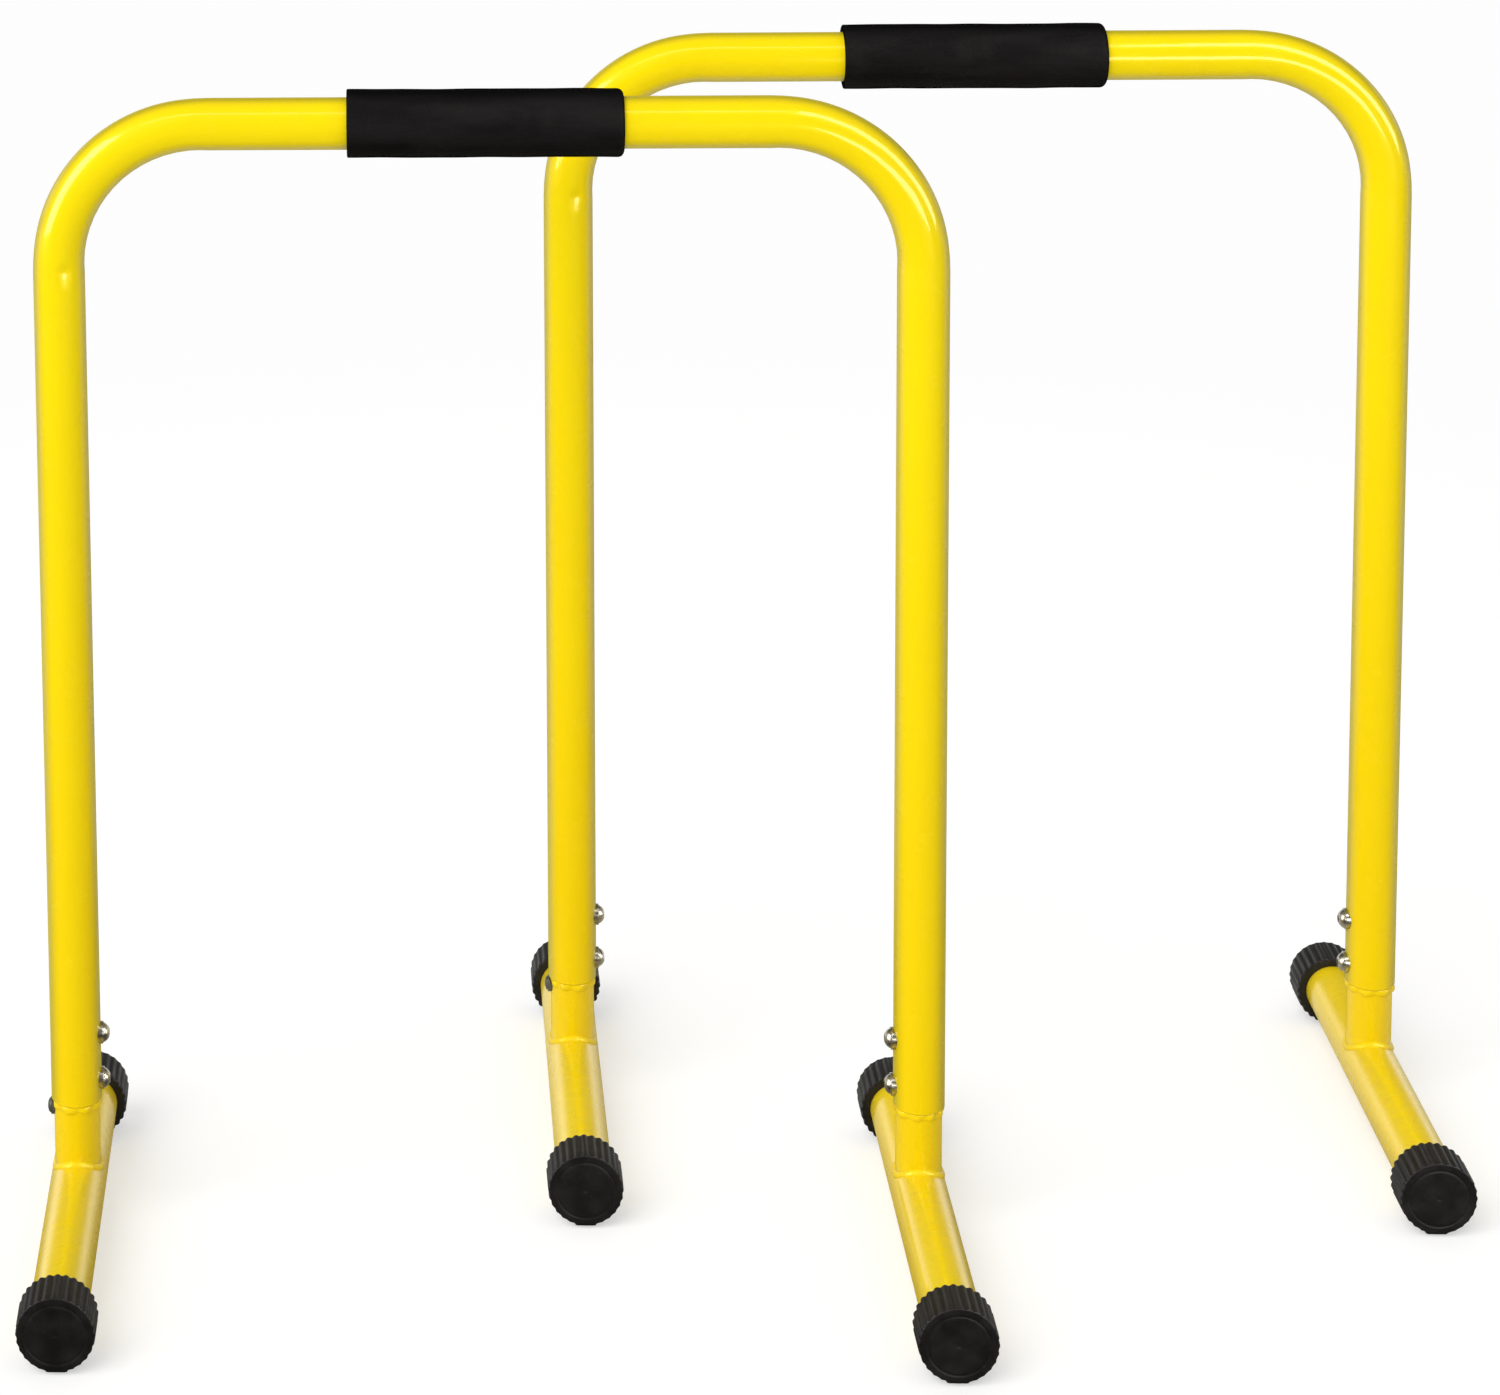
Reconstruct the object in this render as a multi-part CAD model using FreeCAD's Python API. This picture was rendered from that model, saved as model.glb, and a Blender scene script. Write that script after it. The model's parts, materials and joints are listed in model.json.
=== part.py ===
import FreeCAD, Part
import math
import os

# Pair of identical free-standing parallel bars (dip bars). Each bar is an upside-down U of
# round steel tube with a foam grip, standing on two horizontal foot tubes with rubber caps.
# Millimetres. +X runs along the bars, +Y from the front bar to the rear bar, +Z up.
# The origin is on the floor, under the centre of the pair's bounding box.
# Each bar is modelled about its own centre; side is -1 for its left leg, +1 for its right.

# ---------------------------------------------------------------- driving dimensions
# layout of the pair
bar_offset_x = 382.0       # rear bar sits this far to the right of the front bar
bar_offset_y = 206.0       # rear bar sits this far behind the front bar

# handle frame: one bent tube
tube_od = 38.1
tube_wall = 1.8
leg_spacing = 630.0        # leg centre to leg centre
bar_axis_z = 847.0         # top bar centre line above the floor
bend_r = 106.0             # on the centre line
leg_end_z = 97.0           # lower, open end of each leg
leg_end_chamfer = 0.5

# foam grip
grip_od = 50.2
grip_left_x = -102.4
grip_right_x = 98.4
grip_left_round = 0.8
grip_right_round = 4.6

# foot tubes
foot_od = 42.0
foot_wall = 2.0
foot_axis_z = 30.0
foot_front = 215.0         # leg axis to the outer face of the toe cap
foot_rear = 151.0          # leg axis to the outer face of the heel cap

# spigots: short uprights welded on the foot tubes, inside the legs
spigot_od = 34.42
spigot_wall = 2.2
spigot_top_z = 185.0
spigot_chamfer = 1.0

# weld bead where a spigot meets its foot tube
weld_rope_r = 3.4
weld_steps = 30            # curve intervals in each half lap
weld_overlap = 0.06        # radians each half lap runs past the joint at either end

# welded stop ring under the leg's lower end
ring_h = 4.6
ring_od = 37.6
ring_base_w = 0.35         # flat width on the underside
ring_rim_low = 0.55        # lower edge of the rim below the ring's top, share of ring_h
ring_rim_high = 0.3        # upper edge of the rim, likewise
ring_top_bevel = 0.45      # radial width of the bevel above the rim
ring_bulge_x = 0.15        # how far the lower arc's middle lies off its chord
ring_bulge_z = -0.35

# leg bolts, button heads, in the inner face of each leg
bolt_r = 4.0
bolt_len = 17.0            # under the head
bolt_tip_chamfer = 0.7
bolt_head_r = 7.0
bolt_head_h = 4.4
bolt_head_rim = 0.5        # straight rim under the dome
bolt_dome_mid = 0.72       # dome's middle point, share of the head's height and radius
bolt_head_flat = 0.42      # flat on top of the dome, share of the head's radius
bolt_socket_af = 5.0       # across flats
bolt_socket_depth = 2.8
bolt_above_end = (15.0, 51.0)   # bolt heights above the leg's lower end
bolt_hole_r = 4.25         # in the leg, the spigot and the washer

# saddle washers
washer_r = 8.2
washer_proud = 2.1         # flat face beyond the leg's crown
washer_skirt = 2.6         # reach back from the leg's crown, down the tube's sides
washer_round = 0.4

# weld nuts inside the spigot
insert_af = 13.0           # across flats
insert_h = 6.5

# locating stud on the outer side of the left spigot, just under the leg's lower end
stud_r = 6.6
stud_proud = 2.9           # beyond the outside of the leg
stud_below_end = 7.0       # stud centre below the leg's lower end
stud_root = 3.0            # blank starts this far inside the spigot's surface
stud_blank_len = 12.0

# rubber end caps
cap_od = 57.0
cap_len = 32.0
cap_end_wall = 4.5
cap_face_rim = 2.2         # chamfer around the end face
cap_mouth_round = 1.2
cap_ribs = 28
rib_groove_r = 2.3
rib_depth = 1.35
rib_end_gap = 3.0          # grooves stop this far short of the end face
pad_w = 17.0
pad_l = 24.0
pad_top_drop = 20.0        # pad's top, inside the cap, below the foot tube's axis
pad_corner_r = 2.5

gap = 0.02                 # assembly clearance between neighbouring solids
overrun = 10.0             # rib groove cutters start this far beyond the cap's mouth
tool_len = 500.0           # long tools reach past anything they cut
tolerance = 1e-6           # for picking edges by position

# ---------------------------------------------------------------- derived sizes
tube_r = tube_od / 2
foot_r = foot_od / 2
spigot_r = spigot_od / 2
spigot_bore_r = spigot_r - spigot_wall
cap_r = cap_od / 2
ring_r = ring_od / 2
half = leg_spacing / 2
bolt_rows = [leg_end_z + height for height in bolt_above_end]

Vector = FreeCAD.Vector
ORIGIN = Vector(0, 0, 0)
X_AXIS, Y_AXIS, Z_AXIS = Vector(1, 0, 0), Vector(0, 1, 0), Vector(0, 0, 1)
cylinder = Part.makeCylinder


# ---------------------------------------------------------------- helpers
def long_cylinder(radius, centre, axis):
    return cylinder(radius, tool_len, centre - axis * (tool_len / 2), axis)


def annulus(outer_r, inner_r, centre, normal):
    wires = [Part.Wire([Part.makeCircle(r, centre, normal)]) for r in (outer_r, inner_r)]
    return Part.makeFace(wires, "Part::FaceMakerBullseye")


def merged(solids):
    shape = solids[0].multiFuse(solids[1:]).removeSplitter()
    return shape.Solids[0] if len(shape.Solids) == 1 else shape


def largest(shape):
    return max(shape.Solids, key=lambda solid: solid.Volume)


def edges_in_plane(shape, axis, position):
    """Edges lying flat in the plane square to the named axis ("X", "Y" or "Z")."""
    found = []
    for edge in shape.Edges:
        low = getattr(edge.BoundBox, axis + "Min")
        high = getattr(edge.BoundBox, axis + "Max")
        if abs(low - position) < tolerance and high - low < tolerance:
            found.append(edge)
    return found


def hexagon(across_flats, x):
    """Hexagonal face square to X, with corners towards +Y and -Y."""
    corner_r = across_flats / 2 / math.cos(math.pi / 6)
    corners = [Vector(x, corner_r * math.cos(k * math.pi / 3), corner_r * math.sin(k * math.pi / 3))
               for k in range(6)]
    return Part.Face(Part.makePolygon(corners + [corners[0]]))


def turned(points, arc_start, arc_middle, axis):
    """Solid turned from a closed profile whose edge after points[arc_start] is an arc."""
    edges = []
    for i, start in enumerate(points):
        end = points[(i + 1) % len(points)]
        if i == arc_start:
            edges.append(Part.Arc(start, arc_middle, end).toShape())
        else:
            edges.append(Part.makeLine(start, end))
    return Part.Face(Part.Wire(edges)).revolve(ORIGIN, axis, 360).Solids[0]


def bolt_holes(side, wall_r):
    """Hole cutters from the leg's axis out through its inner wall, one per bolt."""
    return [cylinder(bolt_hole_r, wall_r + 2, Vector(side * half, 0, z), Vector(-side, 0, 0))
            for z in bolt_rows]


def set_in_leg(solid, side, z):
    """Move a part modelled about the leg's axis, facing +X, to face inwards on its leg."""
    if side > 0:
        solid.rotate(ORIGIN, Z_AXIS, 180)
    solid.translate(Vector(side * half, 0, z))
    return solid


# ---------------------------------------------------------------- pieces of one bar
def handle_frame():
    bore_r = tube_r - tube_wall
    bend_z = bar_axis_z - bend_r
    bend_x = half - bend_r
    pieces = []
    for side in (-1, 1):
        leg = annulus(tube_r, bore_r, Vector(side * half, 0, leg_end_z), Z_AXIS)
        pieces.append(leg.extrude(Vector(0, 0, bend_z - leg_end_z)))
        bend = annulus(tube_r, bore_r, Vector(side * half, 0, bend_z), Z_AXIS)
        pieces.append(bend.revolve(Vector(side * bend_x, 0, bend_z), Vector(0, -side, 0), 90))
    top = annulus(tube_r, bore_r, Vector(-bend_x, 0, bar_axis_z), X_AXIS)
    pieces.append(top.extrude(Vector(2 * bend_x, 0, 0)))
    tube = merged(pieces)
    # the width test picks the outer edge of each open end, not the bore's
    outer_ends = [edge for edge in tube.Edges
                  if abs(edge.BoundBox.ZMax - leg_end_z) < tolerance
                  and edge.BoundBox.XLength > tube_od - 0.2]
    tube = tube.makeChamfer(leg_end_chamfer, outer_ends)
    for side in (-1, 1):
        for hole in bolt_holes(side, tube_r):
            tube = tube.cut(hole)
    return tube.Solids[0]


def grip_sleeve():
    base = Vector(grip_left_x, 0, bar_axis_z)
    grip = cylinder(grip_od / 2, grip_right_x - grip_left_x, base, X_AXIS)
    grip = grip.makeFillet(grip_right_round, edges_in_plane(grip, "X", grip_right_x))
    grip = grip.makeFillet(grip_left_round, edges_in_plane(grip, "X", grip_left_x))
    return grip.cut(long_cylinder(tube_r + gap, Vector(0, 0, bar_axis_z), X_AXIS)).Solids[0]


def foot_tube(side):
    front_y = -foot_front + cap_end_wall + gap
    rear_y = foot_rear - cap_end_wall - gap
    tube = cylinder(foot_r, rear_y - front_y, Vector(side * half, front_y, foot_axis_z), Y_AXIS)
    centre = Vector(side * half, 0, foot_axis_z)
    return tube.cut(long_cylinder(foot_r - foot_wall, centre, Y_AXIS)).Solids[0]


def spigot(side):
    base = Vector(side * half, 0, foot_axis_z)
    post = cylinder(spigot_r, spigot_top_z - foot_axis_z, base, Z_AXIS)
    post = post.makeChamfer(spigot_chamfer, edges_in_plane(post, "Z", spigot_top_z))
    post = post.cut(long_cylinder(spigot_bore_r, base, Z_AXIS))
    # the lower end is coped to sit on the foot tube
    post = post.cut(long_cylinder(foot_r + gap, base, Y_AXIS))
    for hole in bolt_holes(side, spigot_r):
        post = post.cut(hole)
    return post.Solids[0]


def foot_weld(side):
    """Round rope swept along the saddle curve where the spigot meets the foot tube, less the
    two tubes. It is swept as two overlapping half laps, trimmed and joined at y = 0."""
    centre = Vector(side * half, 0, foot_axis_z)
    on_spigot = long_cylinder(spigot_r + gap, centre, Z_AXIS)
    on_foot = long_cylinder(foot_r + gap, centre, Y_AXIS)
    trim = 40.0            # half size of the trimming box
    laps = []
    for first_angle, trim_y in ((0.0, 0), (math.pi, -trim)):
        points = []
        for k in range(weld_steps + 1):
            swept = (math.pi + 2 * weld_overlap) * k / weld_steps
            angle = first_angle - weld_overlap + swept
            x = spigot_r * math.cos(angle)
            y = spigot_r * math.sin(angle)
            points.append(centre + Vector(x, y, math.sqrt(foot_r ** 2 - x ** 2)))
        curve = Part.BSplineCurve()
        curve.interpolate(Points=points)
        start_direction = curve.tangent(curve.FirstParameter)[0]
        rope = Part.Wire([Part.makeCircle(weld_rope_r, points[0], start_direction)])
        lap = Part.Wire([curve.toShape()]).makePipeShell([rope], True, True)
        lap = lap.cut(on_spigot).cut(on_foot)
        corner = Vector(side * half - trim, trim_y, 10)
        laps.append(lap.common(Part.makeBox(2 * trim, trim, 2 * trim, corner)))
    return merged(laps)


def stop_ring(side):
    top_z = leg_end_z - gap
    inner_r = spigot_r + gap
    base = Vector(inner_r + ring_base_w, 0, top_z - ring_h)
    rim = Vector(ring_r, 0, top_z - ring_h * ring_rim_low)
    profile = [
        Vector(inner_r, 0, top_z),
        Vector(inner_r, 0, top_z - ring_h),
        base,
        rim,
        Vector(ring_r, 0, top_z - ring_h * ring_rim_high),
        Vector(ring_r - ring_top_bevel, 0, top_z),
    ]
    arc_middle = (base + rim) * 0.5 + Vector(ring_bulge_x, 0, ring_bulge_z)
    ring = turned(profile, 2, arc_middle, Z_AXIS)
    ring.translate(Vector(side * half, 0, 0))
    return ring


def cap(side, end, face_y):
    """Ribbed rubber cup. end is -1 for a toe cap (end face towards -Y), +1 for a heel cap."""
    # built along Y with the end face at y = 0 and the mouth at y = -cap_len
    body = cylinder(cap_r, cap_len, Vector(0, -cap_len, 0), Y_AXIS)
    body = body.makeChamfer(cap_face_rim, edges_in_plane(body, "Y", 0))
    body = body.makeFillet(cap_mouth_round, edges_in_plane(body, "Y", -cap_len))
    groove_centre_r = cap_r + rib_groove_r - rib_depth
    groove_len = cap_len - rib_end_gap + overrun
    grooves = []
    for i in range(cap_ribs):
        angle = 2 * math.pi * (i + 0.5) / cap_ribs
        start = Vector(groove_centre_r * math.sin(angle), -cap_len - overrun,
                       groove_centre_r * math.cos(angle))
        grooves.append(cylinder(rib_groove_r, groove_len, start, Y_AXIS))
    body = body.cut(Part.makeCompound(grooves))
    # flat standing pad under the cap, midway along it
    pad_h = foot_axis_z - pad_top_drop
    corner = Vector(-pad_w / 2, -(cap_len + pad_l) / 2, -foot_axis_z)
    pad = Part.makeBox(pad_w, pad_l, pad_h, corner)
    uprights = [edge for edge in pad.Edges if abs(edge.BoundBox.ZLength - pad_h) < tolerance]
    body = body.fuse(pad.makeFillet(pad_corner_r, uprights))
    bore_start = Vector(0, -cap_len - cap_end_wall, 0)
    body = body.cut(cylinder(foot_r + gap, cap_len, bore_start, Y_AXIS)).Solids[0]
    if end < 0:
        body.rotate(ORIGIN, Z_AXIS, 180)
    body.translate(Vector(side * half, face_y, foot_axis_z))
    return body


def bolt(side, z):
    """Button-head bolt along X, head on the inner side of the leg."""
    # shank towards -X, underside of the head at x = 0
    profile = [
        Vector(-bolt_len, 0, 0),
        Vector(-bolt_len, bolt_r - bolt_tip_chamfer, 0),
        Vector(-bolt_len + bolt_tip_chamfer, bolt_r, 0),
        Vector(0, bolt_r, 0),
        Vector(0, bolt_head_r, 0),
        Vector(bolt_head_rim, bolt_head_r, 0),
        Vector(bolt_head_h, bolt_head_r * bolt_head_flat, 0),
        Vector(bolt_head_h, 0, 0),
    ]
    dome_middle = Vector(bolt_head_h * bolt_dome_mid, bolt_head_r * bolt_dome_mid, 0)
    solid = turned(profile, 5, dome_middle, X_AXIS)
    socket = hexagon(bolt_socket_af, bolt_head_h + 1)
    socket = socket.extrude(Vector(-(bolt_socket_depth + 1), 0, 0))
    solid = solid.cut(socket).Solids[0]
    solid.translate(Vector(tube_r + washer_proud + gap, 0, 0))
    return set_in_leg(solid, side, z)


def washer(side, z):
    """Round washer, flat under the bolt head and hollowed to sit on the leg."""
    base = Vector(tube_r - washer_skirt, 0, 0)
    disc = cylinder(washer_r, washer_proud + washer_skirt, base, X_AXIS)
    disc = disc.makeFillet(washer_round, edges_in_plane(disc, "X", tube_r + washer_proud))
    disc = disc.cut(long_cylinder(tube_r + gap, ORIGIN, Z_AXIS))
    disc = disc.cut(long_cylinder(bolt_hole_r, ORIGIN, X_AXIS))
    return set_in_leg(largest(disc), side, z)


def insert(side, z):
    """Weld nut inside the spigot, shaped to its bore."""
    seat_r = spigot_bore_r - gap
    corner_r = insert_af / 2 / math.cos(math.pi / 6)
    nut = hexagon(insert_af, 0).extrude(Vector(30, 0, 0))
    nut = nut.common(long_cylinder(seat_r, ORIGIN, Z_AXIS))
    # the height is measured back from where the hexagon's corners meet the bore
    back_x = math.sqrt(seat_r ** 2 - corner_r ** 2) - insert_h
    nut = nut.cut(Part.makeBox(60, 60, 60, Vector(back_x - 60, -30, -30)))
    nut = nut.cut(long_cylinder(bolt_r + gap, ORIGIN, X_AXIS))
    return set_in_leg(largest(nut), side, z)


def locating_stud():
    """Domed stud on the outer side of the left spigot, stepped to clear the stop ring."""
    crown_x = tube_r + stud_proud
    rise = crown_x - spigot_r
    dome_r = (stud_r ** 2 + rise ** 2) / (2 * rise)
    dome = Part.makeSphere(dome_r, Vector(crown_x - dome_r, 0, 0))
    blank = cylinder(stud_r, stud_blank_len, Vector(spigot_r - stud_root, 0, 0), X_AXIS)
    stud = dome.common(blank)
    stud = stud.cut(long_cylinder(spigot_r + gap, ORIGIN, Z_AXIS))
    step = Vector(0, 0, stud_below_end - ring_h - 2 * gap)
    stud = largest(stud.cut(cylinder(ring_r + gap, 30, step, Z_AXIS)))
    stud.rotate(ORIGIN, Z_AXIS, 180)
    stud.translate(Vector(-half, 0, leg_end_z - stud_below_end))
    return stud


def one_bar():
    pieces = {
        "handle_frame": handle_frame(),
        "grip_sleeve": grip_sleeve(),
        "left_locating_stud": locating_stud(),
    }
    bolted = (("leg_bolts", bolt), ("saddle_washers", washer), ("threaded_inserts", insert))
    for leg, side in (("left_", -1), ("right_", 1)):
        pieces[leg + "foot_tube"] = foot_tube(side)
        pieces[leg + "spigot"] = spigot(side)
        pieces[leg + "foot_weld"] = foot_weld(side)
        pieces[leg + "stop_ring"] = stop_ring(side)
        pieces[leg + "toe_cap"] = cap(side, -1, -foot_front)
        pieces[leg + "heel_cap"] = cap(side, 1, foot_rear)
        for name, build in bolted:
            pieces[leg + name] = Part.makeCompound([build(side, z) for z in bolt_rows])
    return pieces


# ---------------------------------------------------------------- place the two bars and write
pair_depth = bar_offset_y + foot_front + foot_rear
front_at = Vector(-bar_offset_x / 2, foot_front - pair_depth / 2, 0)
rear_at = front_at + Vector(bar_offset_x, bar_offset_y, 0)

os.makedirs("parts", exist_ok=True)
bar = one_bar()
for prefix, position in (("front", front_at), ("rear", rear_at)):
    for name, shape in bar.items():
        placed = shape.copy()
        placed.translate(position)
        placed.exportStep(f"parts/{prefix}_{name}.step")
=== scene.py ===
import json
import math

import bpy
import bmesh
import numpy as np
from mathutils import Matrix, Vector


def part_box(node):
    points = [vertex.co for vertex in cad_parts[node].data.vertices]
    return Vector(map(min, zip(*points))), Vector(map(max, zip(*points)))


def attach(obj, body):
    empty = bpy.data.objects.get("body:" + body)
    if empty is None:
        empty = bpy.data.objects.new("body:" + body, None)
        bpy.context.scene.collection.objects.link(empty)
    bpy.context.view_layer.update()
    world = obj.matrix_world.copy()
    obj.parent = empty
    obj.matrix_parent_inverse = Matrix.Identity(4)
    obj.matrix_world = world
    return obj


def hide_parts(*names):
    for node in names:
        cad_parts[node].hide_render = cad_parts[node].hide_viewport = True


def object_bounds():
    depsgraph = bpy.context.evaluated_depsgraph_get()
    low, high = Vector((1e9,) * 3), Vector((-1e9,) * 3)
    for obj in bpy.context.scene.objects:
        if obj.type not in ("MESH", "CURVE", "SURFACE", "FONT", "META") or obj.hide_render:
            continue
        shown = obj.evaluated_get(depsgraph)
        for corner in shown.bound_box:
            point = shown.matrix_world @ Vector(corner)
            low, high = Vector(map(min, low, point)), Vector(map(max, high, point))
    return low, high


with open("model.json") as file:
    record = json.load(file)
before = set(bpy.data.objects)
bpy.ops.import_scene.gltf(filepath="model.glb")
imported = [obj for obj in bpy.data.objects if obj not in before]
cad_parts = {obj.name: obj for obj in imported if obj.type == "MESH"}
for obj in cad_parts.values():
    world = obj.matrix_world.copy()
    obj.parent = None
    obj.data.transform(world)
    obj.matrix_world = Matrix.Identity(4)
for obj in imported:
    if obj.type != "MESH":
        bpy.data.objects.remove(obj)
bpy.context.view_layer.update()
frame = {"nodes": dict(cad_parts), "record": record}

# Looks for a pair of identical free-standing parallel bars: gloss yellow tube frames, black foam
# grips, ribbed rubber caps, zinc bolts. Shapes are built in millimetres round each bar's own centre,
# then written in metres in the row frame.

MM = 0.001
TAU = 2.0 * math.pi


# ---------------------------------------------------------------- sizes, read from the frame
def box_mm(node):
    lo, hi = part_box(node)
    return np.array(lo, float) * 1000.0, np.array(hi, float) * 1000.0


BARS = ("front", "rear")
SIDES = (("left", -1.0), ("right", 1.0))
_lo, _hi = box_mm("front_handle_frame")
TUBE_R = (_hi[1] - _lo[1]) / 2.0
HALF = (_hi[0] - _lo[0]) / 2.0 - TUBE_R
BAR_Z = _hi[2] - TUBE_R
LEG_Z = _lo[2]
TUBE_WALL = 1.8
BEND_R = 106.0
_lo, _hi = box_mm("front_left_foot_tube")
FOOT_R = (_hi[0] - _lo[0]) / 2.0
FOOT_Z = (_hi[2] + _lo[2]) / 2.0
FOOT_WALL = 2.0
_lo, _hi = box_mm("front_left_spigot")
SPIGOT_R = (_hi[0] - _lo[0]) / 2.0
_lo, _hi = box_mm("front_left_toe_cap")
CAP_R = (_hi[0] - _lo[0]) / 2.0
CAP_LEN = _hi[1] - _lo[1]
CAP_END_WALL = 4.5
RIBS = 28
_lo, _hi = box_mm("front_grip_sleeve")
GRIP_R = (_hi[1] - _lo[1]) / 2.0
BOLT_ROWS = (LEG_Z + 15.0, LEG_Z + 51.0)
STUD_Z, STUD_R = LEG_Z - 7.0, 6.6


def bar_centre(bar):
    lo, hi = box_mm(bar + "_handle_frame")
    return np.array([(lo[0] + hi[0]) / 2.0, (lo[1] + hi[1]) / 2.0, 0.0])


# ---------------------------------------------------------------- mesh helpers
def smooth01(x):
    x = np.clip(x, 0.0, 1.0)
    return x * x * (3.0 - 2.0 * x)


def hash01(n, seed=0.0):
    """Repeatable number in 0..1 for each whole number n."""
    v = np.sin(np.asarray(n, float) * 12.9898 + seed * 78.233) * 43758.5453
    return v - np.floor(v)


def make_object(name, verts, faces, sharp_deg=32.0):
    """Closed mesh object from vertices in millimetres, normals outwards, smooth with sharp edges by angle."""
    me = bpy.data.meshes.new(name)
    me.from_pydata((np.asarray(verts, float) * MM).tolist(), [], faces)
    bm = bmesh.new()
    bm.from_mesh(me)
    bmesh.ops.remove_doubles(bm, verts=bm.verts, dist=1e-7)
    bmesh.ops.recalc_face_normals(bm, faces=bm.faces)
    bm.to_mesh(me)
    bm.free()
    me.shade_smooth()
    me.set_sharp_from_angle(angle=math.radians(sharp_deg))
    ob = bpy.data.objects.new(name, me)
    bpy.context.scene.collection.objects.link(ob)
    return ob


def loft(rings, wrap=True, pole_start=False, pole_end=False):
    """Grid of rings (n, m, 3), each ring closed. wrap joins the last ring to the first; a pole closes
    an end with a fan to the ring's mean point."""
    rings = np.asarray(rings, float)
    n, m, _ = rings.shape
    verts = rings.reshape(-1, 3)
    faces = []
    rows = n if wrap else n - 1
    for i in range(rows):
        a, b = i * m, ((i + 1) % n) * m
        for j in range(m):
            k = (j + 1) % m
            faces.append((a + j, a + k, b + k, b + j))
    if pole_start:
        verts = np.vstack([verts, rings[0].mean(0)])
        c = len(verts) - 1
        faces += [(c, (j + 1) % m, j) for j in range(m)]
    if pole_end:
        verts = np.vstack([verts, rings[-1].mean(0)])
        c, a = len(verts) - 1, (n - 1) * m
        faces += [(c, a + j, a + (j + 1) % m) for j in range(m)]
    return verts, faces


def cut_with(ob, cutters):
    """Cuts the cutter objects out of ob and keeps the result as ob's own mesh."""
    for c in cutters:
        mod = ob.modifiers.new("cut", "BOOLEAN")
        mod.operation, mod.solver, mod.object = "DIFFERENCE", "EXACT", c
    bpy.context.view_layer.update()
    dg = bpy.context.evaluated_depsgraph_get()
    me = bpy.data.meshes.new_from_object(ob.evaluated_get(dg))
    ob.modifiers.clear()
    old = ob.data
    ob.data = me
    me.name = ob.name
    bpy.data.meshes.remove(old)
    for c in cutters:
        bpy.data.objects.remove(c)
    me.shade_smooth()
    me.set_sharp_from_angle(angle=math.radians(32.0))


def at(verts, centre):
    return np.asarray(verts, float) + np.asarray(centre, float)


# ---------------------------------------------------------------- handle frame
def spaced(a, b, step):
    n = max(1, int(round((b - a) / step)))
    return list(np.linspace(a, b, n + 1)[:-1])


def frame_path():
    """Stations along the bent tube: arc length, centre point, outward normal, distance to the nearest bend tangent."""
    z_tan, x_tan = BAR_Z - BEND_R, HALF - BEND_R
    leg, bend, top = z_tan - LEG_Z, BEND_R * math.pi / 2.0, 2.0 * x_tan
    s = spaced(0.0, 2.0, 0.5) + spaced(2.0, 66.0, 1.6) + spaced(66.0, leg - 36.0, 9.0)
    s += spaced(leg - 36.0, leg, 1.2) + spaced(leg, leg + bend, 2.3) + spaced(leg + bend, leg + bend + 24.0, 2.0)
    s += spaced(leg + bend + 24.0, leg + bend + top / 2.0, 9.0)
    total = 2.0 * (leg + bend) + top
    s = np.array(s + [total / 2.0] + [total - v for v in reversed(s)])
    pts, nrm, in_bend = [], [], []
    marks = (leg, leg + bend, total - leg - bend, total - leg)
    for v in s:
        if v < marks[0]:
            pts.append((-HALF, 0.0, LEG_Z + v)); nrm.append((-1.0, 0.0, 0.0))
        elif v < marks[1]:
            a = (v - marks[0]) / BEND_R
            nrm.append((-math.cos(a), 0.0, math.sin(a)))
            pts.append((-x_tan - BEND_R * math.cos(a), 0.0, z_tan + BEND_R * math.sin(a)))
        elif v <= marks[2]:
            pts.append((-x_tan + (v - marks[1]), 0.0, BAR_Z)); nrm.append((0.0, 0.0, 1.0))
        elif v <= marks[3]:
            a = (v - marks[2]) / BEND_R
            nrm.append((math.sin(a), 0.0, math.cos(a)))
            pts.append((x_tan + BEND_R * math.sin(a), 0.0, z_tan + BEND_R * math.cos(a)))
        else:
            pts.append((HALF, 0.0, LEG_Z + (total - v))); nrm.append((1.0, 0.0, 0.0))
        half_in = max(smooth01((v - marks[0] + 5.0) / 16.0) * smooth01((marks[1] + 5.0 - v) / 16.0),
                      smooth01((v - marks[2] + 5.0) / 16.0) * smooth01((marks[3] + 5.0 - v) / 16.0))
        near = min(abs(v - m) for m in marks)
        in_bend.append((float(half_in), near))
    return s, total, np.array(pts), np.array(nrm), np.array(in_bend)


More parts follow.
